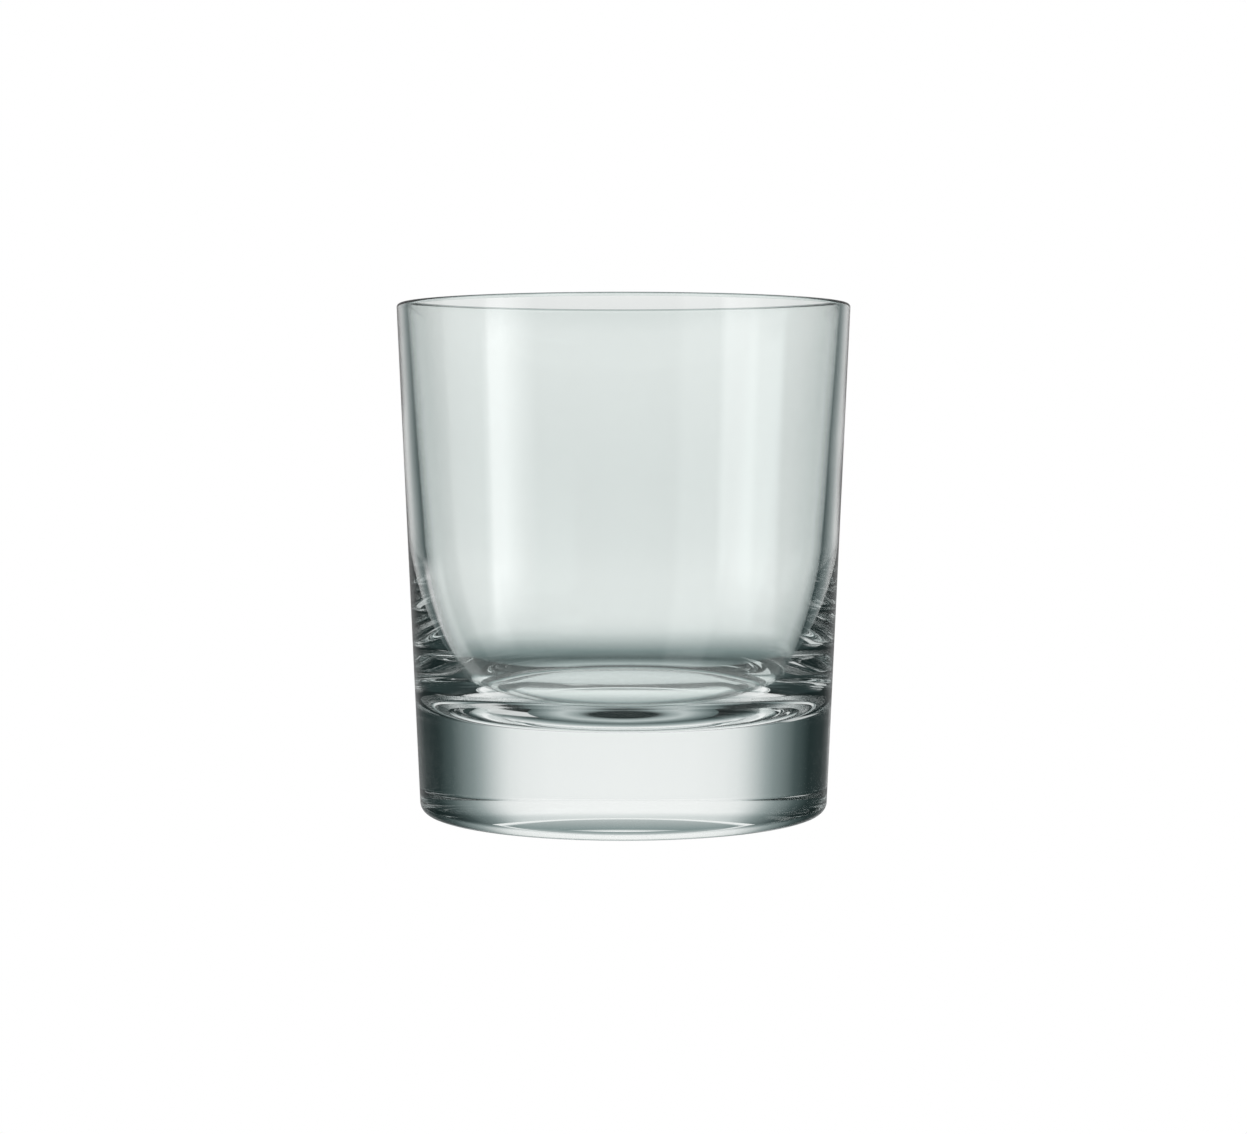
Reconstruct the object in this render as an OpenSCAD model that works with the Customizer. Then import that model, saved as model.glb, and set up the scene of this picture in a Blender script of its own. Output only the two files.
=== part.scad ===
// Heavy-base whiskey tumbler: one moulded piece of clear glass, a solid of revolution about Z.
// Millimetres, +Z up. The origin is the middle of the circle that the glass rests on.

/* [Overall] */
// Height from the resting ring to the top of the lip
height = 93; // [84:1:110]
// Outside diameter of the side wall, carried up to the top of the lip
rim_d = 82.8; // [78:0.2:96]
// Outside diameter of the side wall, carried down to the resting ring
base_d = 74.8; // [70:0.2:90]

/* [Wall and lip] */
// Thickness of the wall at the lip, whose top is flat between two small rounds
lip_t = 1.9; // [1.6:0.1:3.2]
// Radius of the round on the outside of the lip
lip_out_r = 0.7; // [0.3:0.1:0.8]
// Radius of the round on the inside of the lip
lip_in_r = 0.3; // [0.2:0.1:0.6]
// Height at which the inside stops being straight and starts to curve in towards the floor
flank_z = 50; // [44:1:60]
// Thickness of the wall at that height
flank_t = 3.05; // [2.5:0.05:5]
// Radius of the long curve between the straight part of the wall and the bowl's corner
flank_r = 107; // [80:1:200]

/* [Bowl] */
// Thickness of solid glass between the floor of the bowl and the resting plane
floor_t = 17.6; // [12:0.2:22]
// Radius of the rounded corner at the bottom of the bowl
bowl_r = 13; // [8:0.5:18]

/* [Foot] */
// Radius of the rounded outer edge at the bottom
foot_r = 1.95; // [1:0.05:3]
// Width of the flat ring that the glass rests on
ring_w = 3; // [2:0.1:6]
// Height of the dome pressed into the underside
dome_h = 3.8; // [1:0.1:5]

/* [Hidden] */

// How far the outside leans out for each millimetre of height, and that lean as an angle
lean = (rim_d - base_d) / 2 / height;
lean_angle = atan(lean);

// Foot: the round is tangent to the resting plane and to the leaning side wall
foot_x = base_d / 2 + lean * foot_r - foot_r / cos(lean_angle);
ring_inner_x = foot_x - ring_w;

// Underside: one dome, a spherical cap from the inner edge of the ring to the axis
dome_r = (pow(ring_inner_x, 2) + pow(dome_h, 2)) / (2 * dome_h);
dome_angle = asin(ring_inner_x / dome_r);

// Lip: the outer round is tangent to the outside of the wall, and the flat top joins it to the inner round
lip_out_z = height - lip_out_r;
lip_out_x = rim_d / 2 - lean * lip_out_r - lip_out_r / cos(lean_angle);
lip_in_z = height - lip_in_r;
lip_in_x = lip_out_x + lip_out_r - lip_t + lip_in_r;

// Inside of the wall: straight from the lip down to where the flank starts
flank_x = base_d / 2 + lean * flank_z - flank_t;
inner_angle = atan((lip_in_x - lip_in_r - flank_x) / (lip_in_z - flank_z));

// Flank: a long arc that starts tangent to the straight wall
flank_cx = flank_x - flank_r * cos(inner_angle);
flank_cz = flank_z + flank_r * sin(inner_angle);

// Bowl corner: tangent to the end of the flank and to the flat floor
corner_angle = asin((flank_cz - floor_t - bowl_r) / (flank_r - bowl_r));
bowl_x = flank_cx + (flank_r - bowl_r) * cos(corner_angle);
bowl_z = floor_t + bowl_r;

// Points along an arc about [cx, cz], from one angle to another, ends included
function arc(cx, cz, r, from, to, steps) =
    [for (i = [0:steps]) let (a = from + (to - from) * i / steps) [cx + r * cos(a), cz + r * sin(a)]];

// Half of the cross-section, from the underside on the axis round to the floor on the axis
outline = concat(
    arc(0, dome_h - dome_r, dome_r, 90, 90 - dome_angle, 12),
    arc(foot_x, foot_r, foot_r, -90, -lean_angle, 8),
    arc(lip_out_x, lip_out_z, lip_out_r, -lean_angle, 90, 8),
    arc(lip_in_x, lip_in_z, lip_in_r, 90, 180, 6),
    arc(flank_cx, flank_cz, flank_r, -inner_angle, -corner_angle, 8),
    arc(bowl_x, bowl_z, bowl_r, -corner_angle, -90, 16),
    [[0, floor_t]]
);

module tumbler_glass() {
    color([0.86, 0.93, 0.92, 0.45])
        rotate_extrude($fn = 180)
            polygon(outline);
}

tumbler_glass();
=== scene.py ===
"""A heavy-base whiskey tumbler in clear glass, on a plain white table in a bright-field studio."""

from math import asin, atan, cos, pi, sin, sqrt

import bpy
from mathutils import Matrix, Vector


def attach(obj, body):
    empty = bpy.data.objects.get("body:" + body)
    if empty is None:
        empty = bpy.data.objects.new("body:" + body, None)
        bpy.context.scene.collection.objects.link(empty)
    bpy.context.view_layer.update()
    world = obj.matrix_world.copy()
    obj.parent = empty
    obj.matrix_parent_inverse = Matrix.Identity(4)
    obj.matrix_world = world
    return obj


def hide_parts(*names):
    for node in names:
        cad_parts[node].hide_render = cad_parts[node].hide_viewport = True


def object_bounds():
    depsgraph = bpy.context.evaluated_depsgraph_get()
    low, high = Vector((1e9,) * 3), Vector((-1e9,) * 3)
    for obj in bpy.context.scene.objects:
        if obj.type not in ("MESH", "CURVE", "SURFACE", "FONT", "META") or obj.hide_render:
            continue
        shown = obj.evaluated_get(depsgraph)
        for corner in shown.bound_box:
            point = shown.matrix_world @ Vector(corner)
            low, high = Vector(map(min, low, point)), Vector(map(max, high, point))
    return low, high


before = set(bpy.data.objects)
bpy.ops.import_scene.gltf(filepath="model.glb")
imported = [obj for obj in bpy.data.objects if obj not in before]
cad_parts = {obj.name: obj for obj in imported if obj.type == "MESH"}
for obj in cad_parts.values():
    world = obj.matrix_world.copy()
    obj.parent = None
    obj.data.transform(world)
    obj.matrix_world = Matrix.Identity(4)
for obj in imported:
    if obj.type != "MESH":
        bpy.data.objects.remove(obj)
cad_low, cad_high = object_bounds()

HEIGHT = cad_high.z - cad_low.z
MM = 0.001

# ---------------------------------------------------------------- named values
# Camera: lens and sensor in millimetres, clipping in metres, places in heights of the glass
LENS = 71.2
SENSOR_WIDTH = 36.0
CLIP_NEAR, CLIP_FAR = 0.01, 20.0
CAMERA_BACK = 4.875
CAMERA_UP = 0.746
AIM_UP = 0.4826

# Section of the glass, as in the CAD model
RIM_R = 41.4 * MM           # outside of the wall, carried up to the top of the lip
BASE_R = 37.4 * MM          # outside of the wall, carried down to the resting ring
LIP_T = 1.9 * MM            # wall at the lip
LIP_OUT_R = 0.7 * MM        # the lip's outer round
LIP_IN_R = 0.3 * MM         # the lip's inner round
FLANK_Z = 50.0 * MM         # where the inside starts to curve in towards the floor
FLANK_T = 3.05 * MM         # wall at that height
FLANK_R = 107.0 * MM        # the long curve below it
FLOOR_T = 17.6 * MM         # solid base under the bowl
BOWL_R = 13.0 * MM          # rounded corner of the bowl's floor
FOOT_R = 1.95 * MM          # rounded outer edge at the bottom
RING_W = 3.0 * MM           # flat ring that the glass rests on
DOME_H = 3.8 * MM           # dome pressed into the underside

# Mesh of the glass: sides round the axis, steps along each stretch of the section, and how close to the ends
# of a straight stretch its first and last points are
SIDES = 256
DOME_STEPS, RING_STEPS, FOOT_STEPS, OUTSIDE_STEPS = 40, 5, 14, 40
LIP_OUT_STEPS, LIP_IN_STEPS, INSIDE_STEPS = 12, 10, 24
FLANK_STEPS, CORNER_STEPS, FLOOR_STEPS = 30, 40, 16
END_GAP = 0.02 * MM

# Glass: the tint at each surface, and the tint and the strength per metre of its absorption
SURFACE_TINT = (0.885, 0.935, 0.925, 1.0)
DEPTH_TINT = (0.70, 0.95, 0.93, 1.0)
ABSORPTION = 1.0
REFRACTION = 1.52
WAVE_SCALE = 45.0           # waves about 22 mm long
WAVE_DETAIL = 1.0
WAVE_TILT = 0.008           # from the steepest slope one way to the steepest the other
WEAR_UP_TO = 0.05 * MM      # only the resting ring is worn
SCRATCH_SCALE = 900.0
SCRATCH_DETAIL = 4.0
RING_ROUGHNESS = 0.45

# Studio, in metres
TABLE_R = 3.0
TABLE_Z = -0.3 * MM         # just under the resting ring
BACKDROP_R = 6.0
ROOM_R = 3.0
CARDS_R = 1.2
CARDS_LOW, CARDS_HIGH = -1.4, 12.0
SPHERE_ROWS, SPHERE_SIDES = 48, 96
ROUND_SIDES = 128
MOST_BOUNCES = 32

# Directions as seen from the glass, in degrees: away from +Y to either side, and elevation
AROUND = (0, 180)
RISE = (-90, 90)

# Brightness of the lit backdrop by elevation, and of the table's near part, far down
UP = [(-50, .0), (-40, .3), (-30, .63), (-22, .9), (-15, 1.02), (-10, 1.03), (-2.5, .96), (.6, 1.04),
      (1.5, .91), (2.4, .91), (3.2, 1.03), (26, 1.03), (32, .8), (90, .8)]
DOWN = [(-90, .02), (-77, .02), (-72, .35), (-65, .6), (-58, .32), (-52, .15), (-40, .04), (-34, .0)]
# Share of that light that passes between the side cards, by direction
ACROSS = [(0, 1.0), (12, .99), (18, .95), (21, .89), (23, .8), (29, .43), (32, .31), (41, .11), (50, .04),
          (95, .05), (110, .02), (180, .02)]
# White panels among the side cards, which light the glass for the other views: direction from +Y towards +X,
# half width, elevation, half height, brightness
PANELS = [
    (-49, 11, -31, 20, .75),
    (-48, 14, 60, 12, .7),
    (-90, 14, -15, 25, .85),
    (137, 14, -28, 31, .9),
    (134, 10, 48, 14, .5),
]
PANEL_COLOUR = (1.0, 0.97, 0.97, 1.0)
PANEL_FADE = 3.0            # half width of a panel's soft edge
# Brightness of the room that the outside of the glass mirrors, and of its two soft boxes, by direction, and
# the share of the boxes by elevation
ROOM = [(0, .05), (24, .04), (38, .01), (60, .0), (90, .03), (115, .06), (180, .06)]
LEFT_BOX = [(104, 0), (107, .25), (110, .8), (117, .8), (121, .62), (128, .30), (136, .0)]
RIGHT_BOX = [(91, 0), (95, .24), (108, .27), (112, .46), (122, .48), (128, .34), (132, 0)]
BOX_HEIGHT = [(-8.5, 0), (-6.5, 1), (0, 1), (2, 0)]
ROOM_STRENGTH = 5.6
# Studio white leans to a cool green as it gets dimmer: its red at full brightness, and the power by which
# that falls
RED_AT_FULL = 1.02
RED_FALL = 1.15


# ---------------------------------------------------------------- camera
def make_camera():
    """A long lens below the height of the rim, looking slightly down."""
    data = bpy.data.cameras.new("camera")
    data.sensor_fit = "HORIZONTAL"
    data.sensor_width = SENSOR_WIDTH
    data.lens = LENS
    data.clip_start = CLIP_NEAR
    data.clip_end = CLIP_FAR
    camera = bpy.data.objects.new("camera", data)
    bpy.context.scene.collection.objects.link(camera)
    camera.location = (0.0, -CAMERA_BACK * HEIGHT, CAMERA_UP * HEIGHT)
    aim = Vector((0.0, 0.0, AIM_UP * HEIGHT))
    camera.rotation_euler = (aim - camera.location).to_track_quat("-Z", "Y").to_euler()
    bpy.context.scene.camera = camera


# ---------------------------------------------------------------- meshes
def mesh_object(name, verts, faces):
    mesh = bpy.data.meshes.new(name)
    mesh.from_pydata(verts, [], faces)
    obj = bpy.data.objects.new(name, mesh)
    bpy.context.scene.collection.objects.link(obj)
    return obj


def circle(radius, z, sides):
    turns = [2 * pi * side / sides for side in range(sides)]
    return [(radius * cos(turn), radius * sin(turn), z) for turn in turns]


def lathe(name, outline, sides):
    """A closed mesh of revolution about Z; the outline starts and ends on the axis."""
    rings = outline[1:-1]
    verts = [(0.0, 0.0, outline[0][1])]
    for radius, z in rings:
        verts += circle(radius, z, sides)
    verts.append((0.0, 0.0, outline[-1][1]))
    last = len(verts) - 1
    top = 1 + (len(rings) - 1) * sides
    faces = []
    for here in range(sides):
        there = (here + 1) % sides
        faces.append((0, 1 + there, 1 + here))
        for low in range(1, top, sides):
            high = low + sides
            faces.append((low + here, low + there, high + there, high + here))
        faces.append((top + here, top + there, last))
    obj = mesh_object(name, verts, faces)
    obj.data.polygons.foreach_set("use_smooth", [True] * len(faces))
    obj.data.update()
    return obj


def disc(name, radius, z, sides):
    return mesh_object(name, circle(radius, z, sides), [tuple(range(sides))])


def tube(name, radius, low, high, sides):
    """An open upright cylinder about Z."""
    faces = [(side, (side + 1) % sides, sides + (side + 1) % sides, sides + side) for side in range(sides)]
    return mesh_object(name, circle(radius, low, sides) + circle(radius, high, sides), faces)


def arc(cx, cz, radius, start, end, steps):
    """Points along an arc about (cx, cz), angles in radians, ends included."""
    angles = [start + (end - start) * i / steps for i in range(steps + 1)]
    return [(cx + radius * cos(angle), cz + radius * sin(angle)) for angle in angles]


def straight(p, q, steps):
    """Points strictly between p and q, the first and last close to the ends, which keeps the shading flat."""
    close = END_GAP / sqrt((q[0] - p[0]) ** 2 + (q[1] - p[1]) ** 2)
    shares = [close] + [i / steps for i in range(1, steps)] + [1.0 - close]
    return [(p[0] + (q[0] - p[0]) * share, p[1] + (q[1] - p[1]) * share) for share in shares]


def sphere_outline(radius):
    turns = [pi * row / SPHERE_ROWS for row in range(1, SPHERE_ROWS)]
    side = [(radius * sin(turn), -radius * cos(turn)) for turn in turns]
    return [(0.0, -radius)] + side + [(0.0, radius)]


# ---------------------------------------------------------------- node helpers
def noise(tree, vector, scale, detail):
    node = tree.nodes.new("ShaderNodeTexNoise")
    node.inputs["Scale"].default_value = scale
    node.inputs["Detail"].default_value = detail
    tree.links.new(vector, node.inputs["Vector"])
    return node


def components(tree, vector):
    """The X, Y and Z outputs of a vector."""
    node = tree.nodes.new("ShaderNodeSeparateXYZ")
    tree.links.new(vector, node.inputs[0])
    return node.outputs


def grey(tree, value):
    """A colour with the same value in all three channels."""
    node = tree.nodes.new("ShaderNodeCombineXYZ")
    for socket in node.inputs:
        tree.links.new(value, socket)
    return node.outputs[0]


def math_node(tree, operation, *values):
    """Each value is a number or another node's output."""
    node = tree.nodes.new("ShaderNodeMath")
    node.operation = operation
    for socket, value in zip(node.inputs, values):
        if isinstance(value, (int, float)):
            socket.default_value = value
        else:
            tree.links.new(value, socket)
    return node.outputs[0]


def colour_math(tree, operation, a, b):
    node = tree.nodes.new("ShaderNodeVectorMath")
    node.operation = operation
    tree.links.new(a, node.inputs[0])
    tree.links.new(b, node.inputs[1])
    return node.outputs[0]


def away_from_back(tree, x, y):
    """Degrees away from +Y, the same on both sides."""
    return math_node(tree, "DEGREES", math_node(tree, "ARCTAN2", math_node(tree, "ABSOLUTE", x), y))


def elevation(tree, x, y, z):
    """Degrees above the horizon."""
    squares = math_node(tree, "ADD", math_node(tree, "MULTIPLY", x, x), math_node(tree, "MULTIPLY", y, y))
    return math_node(tree, "DEGREES", math_node(tree, "ARCTAN2", z, math_node(tree, "SQRT", squares)))


def ramp(tree, value, span, stops, tint=False):
    """Brightness in straight stretches between stops, which are (place within the span, brightness)."""
    low, high = span
    share = math_node(tree, "DIVIDE", math_node(tree, "SUBTRACT", value, low), high - low)
    node = tree.nodes.new("ShaderNodeValToRGB")
    node.color_ramp.interpolation = "LINEAR"
    elements = node.color_ramp.elements
    while len(elements) < len(stops):
        elements.new(0.5)
    for element, (place, level) in zip(elements, stops):
        element.position = (place - low) / (high - low)
        element.color = studio_white(level) if tint else (level, level, level, 1.0)
    tree.links.new(share, node.inputs["Fac"])
    return node.outputs["Color"]


def studio_white(level):
    return (RED_AT_FULL * level ** RED_FALL, level, level, 1.0)


def patch(tree, value, centre, half):
    """1 within half of the centre and 0 beyond, with a soft edge."""
    distance = math_node(tree, "ABSOLUTE", math_node(tree, "SUBTRACT", value, centre))
    node = tree.nodes.new("ShaderNodeMapRange")
    node.interpolation_type = "SMOOTHSTEP"
    node.inputs["From Min"].default_value = half + PANEL_FADE
    node.inputs["From Max"].default_value = half - PANEL_FADE
    tree.links.new(distance, node.inputs["Value"])
    return node.outputs["Result"]


def bare_material(name):
    """A material whose tree holds only its output node."""
    mat = bpy.data.materials.new(name)
    mat.use_nodes = True
    tree = mat.node_tree
    tree.nodes.clear()
    tree.nodes.new("ShaderNodeOutputMaterial")
    return mat, tree


def set_surface(tree, shader):
    tree.links.new(shader, tree.nodes["Material Output"].inputs["Surface"])


# ---------------------------------------------------------------- glass
def tumbler_outline():
    """Half of the section, from the middle of the underside, round the outside, to the middle of the bowl."""
    lean = (RIM_R - BASE_R) / HEIGHT
    lean_angle = atan(lean)
    foot_x = BASE_R + lean * FOOT_R - FOOT_R / cos(lean_angle)
    ring_in = foot_x - RING_W
    dome_r = (ring_in ** 2 + DOME_H ** 2) / (2 * DOME_H)
    dome_angle = asin(ring_in / dome_r)
    lip_out_x = RIM_R - lean * LIP_OUT_R - LIP_OUT_R / cos(lean_angle)
    lip_out_z = HEIGHT - LIP_OUT_R
    lip_in_x = lip_out_x + LIP_OUT_R - LIP_T + LIP_IN_R
    lip_in_z = HEIGHT - LIP_IN_R
    flank_x = BASE_R + lean * FLANK_Z - FLANK_T
    inside_angle = atan((lip_in_x - LIP_IN_R - flank_x) / (lip_in_z - FLANK_Z))
    flank_cx = flank_x - FLANK_R * cos(inside_angle)
    flank_cz = FLANK_Z + FLANK_R * sin(inside_angle)
    corner_angle = asin((flank_cz - FLOOR_T - BOWL_R) / (FLANK_R - BOWL_R))
    bowl_x = flank_cx + (FLANK_R - BOWL_R) * cos(corner_angle)

    dome = arc(0.0, DOME_H - dome_r, dome_r, pi / 2, pi / 2 - dome_angle, DOME_STEPS)
    foot = arc(foot_x, FOOT_R, FOOT_R, -pi / 2, -lean_angle, FOOT_STEPS)
    lip_out = arc(lip_out_x, lip_out_z, LIP_OUT_R, -lean_angle, pi / 2, LIP_OUT_STEPS)
    lip_in = arc(lip_in_x, lip_in_z, LIP_IN_R, pi / 2, pi, LIP_IN_STEPS)
    flank = arc(flank_cx, flank_cz, FLANK_R, -inside_angle, -corner_angle, FLANK_STEPS)
    corner = arc(bowl_x, FLOOR_T + BOWL_R, BOWL_R, -corner_angle, -pi / 2, CORNER_STEPS)
    middle = (0.0, FLOOR_T)
    return (
        dome
        + straight(dome[-1], foot[0], RING_STEPS)
        + foot
        + straight(foot[-1], lip_out[0], OUTSIDE_STEPS)
        + lip_out
        + lip_in
        + straight(lip_in[-1], flank[0], INSIDE_STEPS)
        + flank
        + corner[1:]
        + straight(corner[-1], middle, FLOOR_STEPS)
        + [middle]
    )


def glass_material():
    """Clear soda-lime glass: slow fire-polished waviness all over, and fine wear on the resting ring."""
    mat = bpy.data.materials.new("clear_glass")
    mat.use_nodes = True
    tree = mat.node_tree
    shader = tree.nodes["Principled BSDF"]
    shader.inputs["Base Color"].default_value = SURFACE_TINT
    shader.inputs["IOR"].default_value = REFRACTION
    shader.inputs["Transmission Weight"].default_value = 1.0
    volume = tree.nodes.new("ShaderNodeVolumeAbsorption")
    volume.inputs["Color"].default_value = DEPTH_TINT
    volume.inputs["Density"].default_value = ABSORPTION
    tree.links.new(volume.outputs["Volume"], tree.nodes["Material Output"].inputs["Volume"])

    place = tree.nodes.new("ShaderNodeTexCoord").outputs["Object"]
    normal = tree.nodes.new("ShaderNodeNewGeometry").outputs["Normal"]
    waves = noise(tree, place, WAVE_SCALE, WAVE_DETAIL)
    tilt = tree.nodes.new("ShaderNodeVectorMath")
    tilt.operation = "MULTIPLY_ADD"
    tilt.inputs[1].default_value = (WAVE_TILT,) * 3
    tilt.inputs[2].default_value = (-0.5 * WAVE_TILT,) * 3
    tree.links.new(waves.outputs["Color"], tilt.inputs[0])
    unit = tree.nodes.new("ShaderNodeVectorMath")
    unit.operation = "NORMALIZE"
    tree.links.new(colour_math(tree, "ADD", normal, tilt.outputs[0]), unit.inputs[0])
    tree.links.new(unit.outputs[0], shader.inputs["Normal"])

    on_ring = math_node(tree, "LESS_THAN", components(tree, place)["Z"], WEAR_UP_TO)
    fine = noise(tree, place, SCRATCH_SCALE, SCRATCH_DETAIL)
    scratches = math_node(tree, "MULTIPLY", fine.outputs["Fac"], RING_ROUGHNESS)
    tree.links.new(math_node(tree, "MULTIPLY", on_ring, scratches), shader.inputs["Roughness"])
    return mat


# ---------------------------------------------------------------- studio
def add_to_studio(obj, mat, camera=False, glossy=False, transmission=False):
    """Gives a part of the studio its material, and shows it only to the kinds of ray named."""
    obj.data.materials.append(mat)
    obj.visible_camera = camera
    obj.visible_glossy = glossy
    obj.visible_transmission = transmission
    obj.visible_diffuse = False
    obj.visible_shadow = False
    obj.visible_volume_scatter = False


def make_table():
    """White table and backdrop, as the camera sees them directly."""
    mat, tree = bare_material("white_table")
    set_surface(tree, tree.nodes.new("ShaderNodeEmission").outputs["Emission"])
    add_to_studio(disc("floor", TABLE_R, TABLE_Z, ROUND_SIDES), mat, camera=True)
    add_to_studio(lathe("backdrop", sphere_outline(BACKDROP_R), SPHERE_SIDES), mat, camera=True)


def make_backlight():
    """The lit backdrop and table that show through the glass."""
    world = bpy.data.worlds.new("studio")
    bpy.context.scene.world = world
    world.use_nodes = True
    tree = world.node_tree
    x, y, z = components(tree, tree.nodes.new("ShaderNodeTexCoord").outputs["Generated"])
    rise = elevation(tree, x, y, z)
    up = ramp(tree, rise, RISE, UP, tint=True)
    down = ramp(tree, rise, RISE, DOWN, tint=True)
    tree.links.new(colour_math(tree, "ADD", up, down), tree.nodes["Background"].inputs["Color"])
    world.cycles_visibility.camera = False
    world.cycles_visibility.glossy = False
    world.cycles_visibility.diffuse = False
    world.cycles_visibility.scatter = False


def make_side_cards():
    """Cards to either side of the backdrop, which draw the glass's dark edges, and the panels among them."""
    mat, tree = bare_material("side_cards")
    x, y, z = components(tree, tree.nodes.new("ShaderNodeNewGeometry").outputs["Position"])
    around, rise = away_from_back(tree, x, y), elevation(tree, x, y, z)
    gap = tree.nodes.new("ShaderNodeBsdfTransparent")
    tree.links.new(ramp(tree, around, AROUND, ACROSS, tint=True), gap.inputs["Color"])
    panel = tree.nodes.new("ShaderNodeEmission")
    panel.inputs["Color"].default_value = PANEL_COLOUR
    turn = math_node(tree, "MULTIPLY", around, math_node(tree, "SIGN", x))
    share = 0.0
    for turn_at, turn_half, rise_at, rise_half, level in PANELS:
        inside = math_node(tree, "MULTIPLY", patch(tree, turn, turn_at, turn_half),
                           patch(tree, rise, rise_at, rise_half))
        share = math_node(tree, "MAXIMUM", math_node(tree, "MULTIPLY", inside, level), share)
    mix = tree.nodes.new("ShaderNodeMixShader")
    tree.links.new(share, mix.inputs[0])
    tree.links.new(gap.outputs["BSDF"], mix.inputs[1])
    tree.links.new(panel.outputs["Emission"], mix.inputs[2])
    set_surface(tree, mix.outputs[0])
    add_to_studio(tube("side_cards", CARDS_R, CARDS_LOW, CARDS_HIGH, ROUND_SIDES), mat, transmission=True)


def make_room():
    """What the outside of the glass mirrors: a grey room with two soft boxes, one to each side."""
    mat, tree = bare_material("room")
    x, y, z = components(tree, tree.nodes.new("ShaderNodeNewGeometry").outputs["Position"])
    around, rise = away_from_back(tree, x, y), elevation(tree, x, y, z)
    right_side = math_node(tree, "GREATER_THAN", x, 0.0)
    left_side = math_node(tree, "SUBTRACT", 1.0, right_side)
    left = colour_math(tree, "MULTIPLY", ramp(tree, around, AROUND, LEFT_BOX), grey(tree, left_side))
    right = colour_math(tree, "MULTIPLY", ramp(tree, around, AROUND, RIGHT_BOX), grey(tree, right_side))
    height = ramp(tree, rise, RISE, BOX_HEIGHT)
    boxes = colour_math(tree, "MULTIPLY", colour_math(tree, "ADD", left, right), height)
    light = tree.nodes.new("ShaderNodeEmission")
    light.inputs["Strength"].default_value = ROOM_STRENGTH
    tree.links.new(colour_math(tree, "ADD", ramp(tree, around, AROUND, ROOM), boxes), light.inputs["Color"])
    set_surface(tree, light.outputs["Emission"])
    add_to_studio(lathe("room", sphere_outline(ROOM_R), SPHERE_SIDES), mat, glossy=True)


make_camera()
glass = lathe("tumbler_glass_body", tumbler_outline(), SIDES)
glass.data.materials.append(glass_material())
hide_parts("tumbler_glass")
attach(glass, "root")
make_table()
make_backlight()
make_side_cards()
make_room()

scene = bpy.context.scene
scene.view_settings.view_transform = "Standard"
scene.cycles.max_bounces = MOST_BOUNCES
scene.cycles.transmission_bounces = MOST_BOUNCES
scene.cycles.glossy_bounces = MOST_BOUNCES
scene.cycles.sample_clamp_indirect = 0.0
